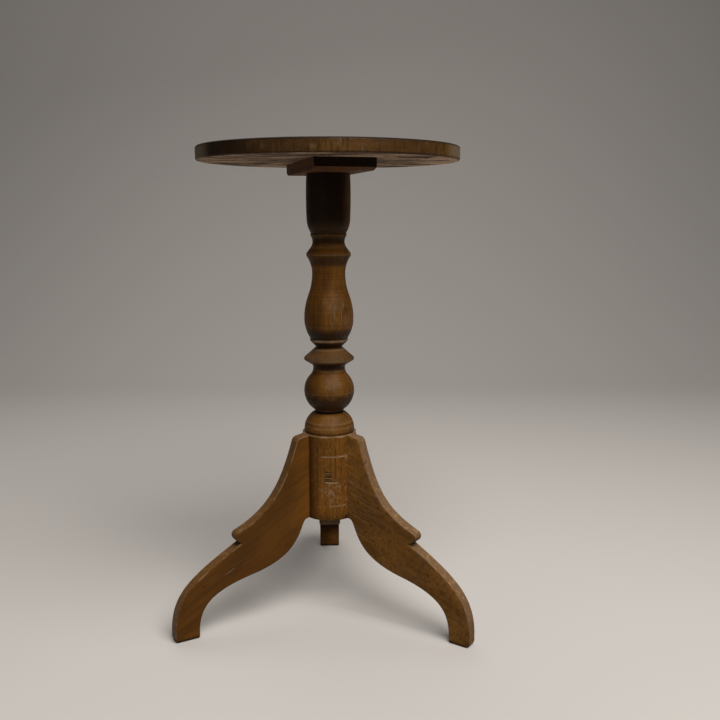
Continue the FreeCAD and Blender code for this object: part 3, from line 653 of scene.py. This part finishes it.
def leg_material(leg, finish, colour, edge_colour, mottle, shade, gloss, seed):
    """Sawn plank: grain down the leg, rubbed arrises with a painted highlight, a painted dark arris line,
    painted shade under the nose, saw strokes, mottling and knocks.
    """
    material, bench, shader, place = new_material(leg.replace("_", " ") + " wood")
    local = leg_place(bench, place, leg)
    out, across, up = bench.split(local)
    grime_and_shade = paint(finish.grime_and_shade_colour)
    along = bench.turned(local, "Y", -LEG_GRAIN_SLOPE[leg])
    grain = bench.use(timber_grain(), vector=along, seed=seed)
    wood = bench.tones(bench.share(grain["Streaks"], 0.35, grain["Drift"]), colour, 0.62, 1.32)
    stains = blotches(bench, bench.scaled(along, (0.6, 1.0, 1.0)), 42.0, 0.42 + 0.1 * mottle)
    wood = bench.tint(wood, stains, 0.2 + 0.4 * mottle, paint(colour, 0.4))
    faded = blotches(bench, bench.moved(local, (0.4, 0.2, 0.7)), 55.0, 0.48)
    wood = bench.tint(wood, faded, 0.1 + 0.35 * mottle, paint(edge_colour, 0.65))
    blots = blotches(bench, bench.moved(along, (0.9, 0.4, 0.2)), 75.0, 0.46)
    wood = bench.tint(wood, blots, 0.08 + 0.42 * mottle, paint(colour, 0.32))
    speckle = blotches(bench, bench.moved(local, (0.1, 0.8, 0.3)), 190.0, 0.42 + 0.14 * mottle)
    wood = bench.tint(wood, speckle, 0.16 + 0.45 * mottle, paint(colour, 0.3))
    flecks = blotches(bench, bench.moved(local, (0.7, 0.1, 0.9)), 240.0, 0.4)
    wood = bench.tint(wood, flecks, 0.1 + 0.4 * mottle, paint(edge_colour, 0.9))
    saw_lines = stroked(bench, along, 30.0, 430.0, 0.5)
    sawn_part = near(bench, bench.scaled(local, (1.0, 0.0, 1.0)), *SAWN_PART)
    pale_lines = bench.times(saw_lines, bench.most([bench.times(faded, 0.4), sawn_part]))
    wood = bench.tint(wood, pale_lines, 0.12 + 0.6 * mottle, paint(edge_colour, 0.95))
    dark_lines = bench.times(stroked(bench, bench.moved(along, (0.3, 0.5, 0.1)), 30.0, 430.0, 0.5), sawn_part)
    wood = bench.tint(wood, dark_lines, 0.1 + 0.55 * mottle, paint(colour, 0.3))
    shaded = bench.times(bench.fade(out, *LEG_SHADE), bench.without(bench.fade(out, *LEG_SHADE_END), 0.7))
    wood = bench.tint(wood, shaded, shade, paint(colour, 0.15))
    if leg == "leg_left":
        pale, dark = scratch(bench, local, across)
        wood = bench.tint(wood, dark, 0.7, paint(colour, 0.15))
        wood = bench.tint(wood, pale, 0.6, paint(finish.worn_and_highlight_colour, 0.55))
    side = bench.size(across)
    edge = inset(bench, side, leg, *EDGE_INSET)
    facing = bench.split(bench.put("ShaderNodeNewGeometry").outputs["Normal"])[2]
    upward = bench.times(edge, bench.fade(facing, 0.0, 0.3))
    edge_grain = blotches(bench, local, 170.0, 0.5)
    sawn = bench.blend(edge_grain, paint(edge_colour, 0.72), paint(edge_colour, 1.25))
    wood = bench.tint(wood, upward, 0.92, sawn)
    rub = blotches(bench, local, 45.0, 0.62)
    arris = bench.times(inset(bench, side, leg, *ARRIS_FROM), inset(bench, side, leg, *ARRIS_TO))
    # Rubbed pale arris, which also paints the highlight along the upper arris of the left leg.
    rubbed_arris_and_highlight = bench.times(arris, rub, bench.fade(facing, -0.2, 0.1))
    arris_wear_and_highlight_colour = paint(finish.worn_and_highlight_colour, 0.7)
    wood = bench.tint(wood, rubbed_arris_and_highlight, finish.wear * (0.8 - 0.8 * mottle), arris_wear_and_highlight_colour)
    # Painted shade: a dark line along the arris, strongest on the mottled right leg.
    wood = bench.tint(wood, bench.times(arris, bench.at_least(rub, 0.4)), 0.9 * mottle, paint(colour, 0.12))
    dents = bench.use(knocks(), vector=local, scale=60.0, share=0.1 + 0.25 * mottle)["Dents"]
    wood = bench.tint(wood, dents, 0.75, paint(colour, 0.15))
    # Painted shade on the downward faces under the nose of each leg.
    nose_under_shade = bench.times(edge, bench.fade(facing, -0.1, -0.5), bench.fade(out, *NOSE_PART))
    wood = bench.tint(wood, nose_under_shade, 0.75, grime_and_shade)
    # Darker towards the floor, over the lowest few millimetres of each leg.
    wood = bench.tint(wood, bench.fade(up, *SOLE_DARK_BAND), 0.9, grime_and_shade)
    roughness = bench.plus(0.5, bench.times(stains, 0.14))
    relief = bench.plus(bench.times(grain["Streaks"], 0.3), bench.times(saw_lines, 0.1 + 0.35 * mottle))
    relief = bench.minus(relief, bench.plus(bench.times(grain["Pores"], 0.3), dents))
    relief = bench.plus(relief, bench.times(edge_grain, edge, 0.3))
    dress(bench, shader, wood, roughness, relief, 0.0006, gloss)
    return material


def inset(bench, side, leg, start, end):
    """A fade across a leg, between two depths below its sawn faces."""
    return bench.fade(side, LEG_HALF[leg] - start, LEG_HALF[leg] - end)


def scratch(bench, local, across):
    """A short double scratch on the outer half of the left leg's front: its pale and its dark line."""
    away = bench.moved(local, tuple(-each for each in SCRATCH_MIDDLE))
    run, _, rise = bench.split(bench.turned(away, "Y", -SCRATCH_SLOPE))
    reach = bench.times(bench.fade(bench.size(run), *SCRATCH_LENGTH), bench.fade(across, *SCRATCH_FACE))
    pale = bench.fade(bench.size(bench.plus(rise, SCRATCH_SPREAD)), *SCRATCH_PALE)
    dark = bench.fade(bench.size(bench.minus(rise, SCRATCH_SPREAD)), *SCRATCH_DARK)
    return bench.times(pale, reach), bench.times(dark, reach)


def top_material(finish):
    """One board: waxed face, rasped rim and bare streaky underside."""
    material, bench, shader, place = new_material("top board")
    x, y, z = bench.split(place)
    colour = finish.top_colour
    grain = bench.use(timber_grain(), vector=place, seed=8.4)
    stain = blotches(bench, bench.moved(place, (0.3, 0.9, 0.1)), 12.0, 0.5)
    face = bench.tones(bench.share(grain["Streaks"], 0.6, grain["Drift"]), colour, 0.5, 1.4)
    face = bench.tint(face, stain, 0.3, paint(colour, 0.6))
    round_place = bench.join(z, bench.times(bench.math("ARCTAN2", y, x), TOP_RADIUS), 0.0)
    rasp = stroked(bench, round_place, 60.0, 560.0, 0.58)
    rim = rasped_rim(bench, finish, grain, round_place, x, rasp)
    pits = bench.use(knocks(), vector=bench.scaled(place, (1.0, 0.35, 1.0)), scale=70.0, share=0.4)["Dents"]
    under = bare_underside(bench, finish, grain, place, x, y, pits)
    flat_part = bench.fade(bench.length(bench.join(x, y, 0.0)), *FLAT_PART)
    below = bench.times(flat_part, bench.fade(z, *UNDER_FACE))
    above = bench.times(flat_part, bench.fade(z, *UPPER_FACE))
    wood = bench.blend(below, bench.blend(above, rim, face), under)
    roughness = bench.plus(0.5, bench.times(below, 0.35))
    sunk = bench.plus(bench.times(grain["Pores"], 0.4), pits)
    relief = bench.minus(bench.times(grain["Streaks"], 0.5), sunk)
    relief = bench.plus(relief, bench.times(rasp, bench.minus(1.0, above), 0.4))
    dress(bench, shader, wood, roughness, relief, 0.0006, 0.14)
    return material


def bare_underside(bench, finish, grain, place, x, y, pits):
    """Bare underside: weathered streaks, paler at the right, with pits, specks and a split."""
    bare = finish.underside_colour
    weather = bench.noise(bench.scaled(place, (17.0, 38.0, 38.0)), detail=5.0, roughness=0.62)
    stops = [(0.39, paint(bare, 0.18)), (0.5, paint(bare, 0.92)), (0.6, paint(bare, 2.6))]
    under = bench.ramp(weather, stops)
    under = bench.tint(under, bench.fade(grain["Streaks"], 0.75, 0.2), 0.4, paint(bare, 0.35))
    pale_end = bench.times(bench.fade(x, *PALE_UNDER), bench.fade(weather, 0.38, 0.52))
    under = bench.tint(under, pale_end, 0.8, paint(bare, 2.6))
    under = bench.tint(under, pits, 0.75, paint(finish.top_colour, 0.5))
    flat = bench.scaled(place, (1.0, 0.45, 1.0))
    dark_specks = blotches(bench, bench.moved(flat, (0.2, 0.6, 0.0)), 170.0, 0.5)
    under = bench.tint(under, dark_specks, 0.55, paint(bare, 0.25))
    pale_specks = blotches(bench, bench.moved(flat, (0.8, 0.1, 0.0)), 190.0, 0.45)
    under = bench.tint(under, pale_specks, 0.6, paint(bare, 1.7))
    return bench.tint(under, drying_split(bench, x, y, weather), 0.95, paint(finish.grime_and_shade_colour))


def rasped_rim(bench, finish, grain, round_place, x, rasp):
    """Rasped rim: short upright strokes, with painted shade to the left, in a band at the right and along the
    upper arris, and painted highlights at its ends.
    """
    colour = finish.rim_colour
    worn_and_highlight = finish.worn_and_highlight_colour
    wear = blotches(bench, round_place, 75.0, 0.5)
    rim = bench.tones(bench.share(grain["Streaks"], 0.4, grain["Drift"]), colour, 0.6, 1.3)
    rim = bench.tint(rim, bench.times(rasp, wear), 0.6, paint(worn_and_highlight, 0.45))
    dark = stroked(bench, bench.moved(round_place, (0.2, 0.7, 0.0)), 30.0, 240.0, 0.5)
    rim = bench.tint(rim, dark, 0.6, paint(colour, 0.3))
    # Painted shade along X: darker to the left, and in a band right of the middle.
    shade = bench.plus(x, bench.times(wear, 0.02))
    rim = bench.tint(rim, bench.fade(shade, *RIM_LEFT_SHADE), 0.5, paint(colour, 0.25))
    rim = bench.tint(rim, bench.fade(shade, *RIM_FAR_LEFT_SHADE), 0.7, paint(colour, 0.12))
    brown = bench.times(bench.fade(shade, *RIM_SHADE_BAND_FROM), bench.fade(shade, *RIM_SHADE_BAND_TO))
    rim = bench.tint(rim, brown, 0.42, paint(colour, 0.3))
    # Painted highlights at both ends, where the rim turns sideways.
    away = bench.size(x)
    rim = bench.tint(rim, bench.fade(away, *RIM_END_SHEEN), 0.75, paint(worn_and_highlight, 0.42))
    rim = bench.tint(rim, bench.fade(away, *RIM_END_HIGHLIGHT), 0.5, paint(worn_and_highlight, 0.9))
    # Painted shade along the upper arris.
    height = bench.split(round_place)[0]
    return bench.tint(rim, bench.fade(height, *UPPER_ARRIS_SHADE), 0.9, paint(colour, 0.12))


def drying_split(bench, x, y, weather):
    """A dark split along the grain under the top, right of the bearer, with a short one beyond it."""
    bend = bench.times(bench.minus(weather, 0.5), 0.03)
    line = bench.fade(bench.size(bench.plus(bench.plus(y, SPLIT_FRONT), bend)), *SPLIT_WIDTH)
    deep = bench.at_least(bench.fade(x, *SPLIT_DEEP), 0.4)
    near_part = bench.times(bench.fade(x, *SPLIT_FROM), bench.fade(x, *SPLIT_TO), deep)
    far_part = bench.times(bench.fade(x, *FAR_SPLIT_FROM), bench.fade(x, *FAR_SPLIT_TO), 0.5)
    return bench.times(line, bench.plus(near_part, far_part))


def bearer_material(finish):
    """Rough batten: long grain, dark end grain painted near black as painted shade, and a paler bevel."""
    material, bench, shader, place = new_material("bearer batten")
    local = bench.turned(place, "Z", -BEARER_BEARING)
    along, _, up = bench.split(local)
    grain = bench.use(timber_grain(), vector=local, seed=5.7)
    wood = bench.tones(bench.share(grain["Streaks"], 0.6, grain["Drift"]), finish.bearer_colour, 0.5, 1.5)
    dust = blotches(bench, local, 95.0, 0.45)
    wood = bench.tint(wood, dust, 0.4, paint(finish.underside_colour, 0.45))
    # Painted shade over dark end grain: the end above the bevel, under the top, painted near black.
    end = bench.times(bench.fade(bench.size(along), *BEARER_END), bench.fade(up, *ABOVE_BEVEL))
    wood = bench.tint(wood, end, 0.97, paint(finish.grime_and_shade_colour))
    roughness = bench.plus(0.55, bench.times(grain["Drift"], 0.2))
    relief = bench.minus(grain["Streaks"], bench.times(grain["Pores"], 0.5))
    dress(bench, shader, wood, roughness, relief, 0.0006, 0.12)
    return material


def wedge_material(finish):
    """Split wedge: plain upright grain."""
    material, bench, shader, place = new_material("wedge wood")
    x, y, z = bench.split(place)
    grain = bench.use(timber_grain(), vector=bench.join(z, x, y), seed=2.2)
    wood = bench.tones(grain["Streaks"], finish.underside_colour, 0.5, 1.3)
    roughness = bench.plus(0.55, bench.times(grain["Drift"], 0.2))
    dress(bench, shader, wood, roughness, grain["Streaks"], 0.0004, 0.3)
    return material


def iron_material(finish):
    """Dull iron with a bloom of rust."""
    material, bench, shader, place = new_material("screw iron")
    rust = blotches(bench, place, 420.0, 0.5)
    colour = bench.blend(rust, paint(finish.iron_colour), paint(finish.rust_colour))
    bench.feed(shader.inputs["Metallic"], bench.minus(0.9, bench.times(rust, 0.6)))
    dress(bench, shader, colour, bench.plus(0.45, bench.times(rust, 0.3)), rust, 0.0002, 0.5)
    return material


def floor_material(stage):
    """Plain matt floor, pale to the eye, that a view from below looks through."""
    material, bench, shader, _ = new_material("studio floor")
    ray = bench.put("ShaderNodeLightPath").outputs
    seen = bench.most([ray["Is Camera Ray"], ray["Is Glossy Ray"], ray["Is Transmission Ray"]])
    colour = bench.blend(seen, paint(stage.bounce_colour), paint(stage.floor_colour))
    bench.feed(shader.inputs["Base Color"], colour)
    shader.inputs["Roughness"].default_value = 0.8
    shader.inputs["Specular IOR Level"].default_value = 0.2
    back = bench.put("ShaderNodeNewGeometry").outputs["Backfacing"]
    clear = bench.put("ShaderNodeBsdfTransparent").outputs[0]
    sheet = bench.put("ShaderNodeMixShader", {0: back, 1: shader.outputs[0], 2: clear})
    output = next(node for node in material.node_tree.nodes if node.type == "OUTPUT_MATERIAL")
    bench.feed(output.inputs["Surface"], sheet.outputs[0])
    return material


class TABLE_OT_top(Operator):
    """Finish the round top"""

    bl_idname = "wine_table.top"
    bl_label = "Finish the top"

    def execute(self, context):
        assign("table_top", top_material(context.scene.wine_table_finish))
        return {"FINISHED"}


class TABLE_OT_bearer(Operator):
    """Finish the bearer under the top"""

    bl_idname = "wine_table.bearer"
    bl_label = "Finish the bearer"

    def execute(self, context):
        assign("bearer", bearer_material(context.scene.wine_table_finish))
        return {"FINISHED"}


class TABLE_OT_screws(Operator):
    """Finish the bearer's screws"""

    bl_idname = "wine_table.screws"
    bl_label = "Finish the screws"

    def execute(self, context):
        assign("bearer_screws", iron_material(context.scene.wine_table_finish))
        return {"FINISHED"}


class TABLE_OT_pillar(Operator):
    """Finish the turned pillar and the wedge in its spigot"""

    bl_idname = "wine_table.pillar"
    bl_label = "Finish the pillar"

    def execute(self, context):
        assign("pillar", pillar_material(context.scene.wine_table_finish))
        assign("spigot_wedge", wedge_material(context.scene.wine_table_finish))
        return {"FINISHED"}


class TABLE_OT_legs(Operator):
    """Finish the three sawn legs"""

    bl_idname = "wine_table.legs"
    bl_label = "Finish the legs"

    def execute(self, context):
        finish = context.scene.wine_table_finish
        looks = (
            ("leg_left", finish.left_leg_colour, finish.left_edge_colour, 0.12, 0.46, 0.16, 1.3),
            ("leg_right", finish.right_leg_colour, finish.right_edge_colour, 0.85, 0.26, 0.12, 6.2),
            ("leg_rear", finish.rear_leg_colour, finish.left_edge_colour, 0.4, 0.4, 0.05, 9.5),
        )
        for leg, *look in looks:
            assign(leg, leg_material(leg, finish, *look))
        return {"FINISHED"}


class TABLE_OT_stage(Operator):
    """Lay the floor, hang the lamps and set up the camera"""

    bl_idname = "wine_table.stage"
    bl_label = "Set the stage"

    def execute(self, context):
        stage = context.scene.wine_table_stage
        lay_floor(context, stage)
        hang_lamps(context, stage)
        stand_camera(context, stage)
        return {"FINISHED"}


def lay_floor(context, stage):
    """Floor that sweeps up into a backdrop."""
    sheet = bmesh.new()
    left = sheet.verts.new((-FLOOR_HALF_WIDTH, FLOOR_FRONT, 0.0))
    right = sheet.verts.new((FLOOR_HALF_WIDTH, FLOOR_FRONT, 0.0))
    fold = drawn_out(sheet, sheet.edges.new((left, right)), (0.0, FLOOR_DEPTH, 0.0))
    drawn_out(sheet, fold, (0.0, 0.0, BACKDROP_HEIGHT))
    bmesh.ops.bevel(
        sheet,
        geom=[fold],
        affect="EDGES",
        offset=FLOOR_SWEEP,
        segments=FLOOR_SWEEP_SEGMENTS,
        profile=0.5,
        material=-1,
    )
    bmesh.ops.reverse_faces(sheet, faces=sheet.faces)
    mesh = bpy.data.meshes.new("studio_floor")
    sheet.to_mesh(mesh)
    sheet.free()
    mesh.shade_smooth()
    floor = bpy.data.objects.new("studio_floor", mesh)
    context.scene.collection.objects.link(floor)
    mesh.materials.append(floor_material(stage))


def drawn_out(sheet, edge, move):
    """Draw an edge out into a face and return the face's far edge."""
    made = bmesh.ops.extrude_edge_only(sheet, edges=[edge])["geom"]
    corners = [part for part in made if isinstance(part, bmesh.types.BMVert)]
    bmesh.ops.translate(sheet, verts=corners, vec=move)
    return next(part for part in made if isinstance(part, bmesh.types.BMEdge))


def hang_lamps(context, stage):
    """A large soft lamp high at the right front, weak ones at the left and behind, and an even surround."""
    hang_lamp(context, "key_lamp", KEY_LAMP, stage.key_power)
    hang_lamp(context, "fill_lamp", FILL_LAMP, stage.fill_power)
    hang_lamp(context, "back_lamp", BACK_LAMP, stage.back_power)
    world = bpy.data.worlds.new("surround")
    context.scene.world = world
    world.use_nodes = True
    sky = world.node_tree.nodes["Background"]
    sky.inputs["Color"].default_value = SURROUND_COLOUR
    sky.inputs["Strength"].default_value = stage.surround


def hang_lamp(context, name, station, power):
    """A round lamp that faces the table, from an azimuth, an elevation and a distance, and of a size."""
    azimuth, elevation, distance, size = station
    level = math.cos(math.radians(elevation))
    east, south = math.sin(math.radians(azimuth)), -math.cos(math.radians(azimuth))
    towards = Vector((east * level, south * level, math.sin(math.radians(elevation))))
    lamp = bpy.data.lights.new(name, "AREA")
    lamp.energy = power
    lamp.shape = "DISK"
    lamp.size = size
    lamp.color = LAMP_COLOUR
    held = bpy.data.objects.new(name, lamp)
    held.location = Vector((AXIS.x, AXIS.y, TABLE_MIDDLE_LEVEL)) + towards * distance
    held.rotation_euler = (-towards).to_track_quat("-Z", "Y").to_euler()
    context.scene.collection.objects.link(held)


def stand_camera(context, stage):
    """Camera just below the level of the top, looking slightly down and to the right."""
    camera = bpy.data.cameras.new("camera")
    camera.sensor_width = CAMERA_SENSOR
    camera.lens = stage.lens
    camera.shift_x = CAMERA_SHIFT
    stand = bpy.data.objects.new("camera", camera)
    stand.location = Vector((AXIS.x, AXIS.y, 0.0)) + Vector(CAMERA_PLACE)
    stand.rotation_euler = (math.radians(90.0 - CAMERA_DOWN), 0.0, math.radians(-CAMERA_RIGHT))
    context.scene.collection.objects.link(stand)
    context.scene.camera = stand
    context.scene.view_settings.view_transform = "Standard"


class TABLE_PT_looks(Panel):
    """Colours, wear, floor and lamps of the table"""

    bl_idname = "TABLE_PT_looks"
    bl_label = "Wine table"
    bl_space_type = "VIEW_3D"
    bl_region_type = "UI"
    bl_category = "Table"

    def draw(self, context):
        for group in (context.scene.wine_table_finish, context.scene.wine_table_stage):
            for name in group.__annotations__:
                self.layout.prop(group, name)
        for operator in OPERATORS:
            self.layout.operator(operator.bl_idname)


OPERATORS = (TABLE_OT_top, TABLE_OT_bearer, TABLE_OT_screws, TABLE_OT_pillar, TABLE_OT_legs, TABLE_OT_stage)
CLASSES = (TableFinish, TableStage, *OPERATORS, TABLE_PT_looks)


def register():
    for each in CLASSES:
        bpy.utils.register_class(each)
    bpy.types.Scene.wine_table_finish = PointerProperty(type=TableFinish)
    bpy.types.Scene.wine_table_stage = PointerProperty(type=TableStage)


def unregister():
    del bpy.types.Scene.wine_table_stage
    del bpy.types.Scene.wine_table_finish
    for each in reversed(CLASSES):
        bpy.utils.unregister_class(each)


def main():
    register()
    bpy.ops.wine_table.top()
    bpy.ops.wine_table.bearer()
    bpy.ops.wine_table.screws()
    bpy.ops.wine_table.pillar()
    bpy.ops.wine_table.legs()
    bpy.ops.wine_table.stage()


if __name__ == "__main__":
    main()
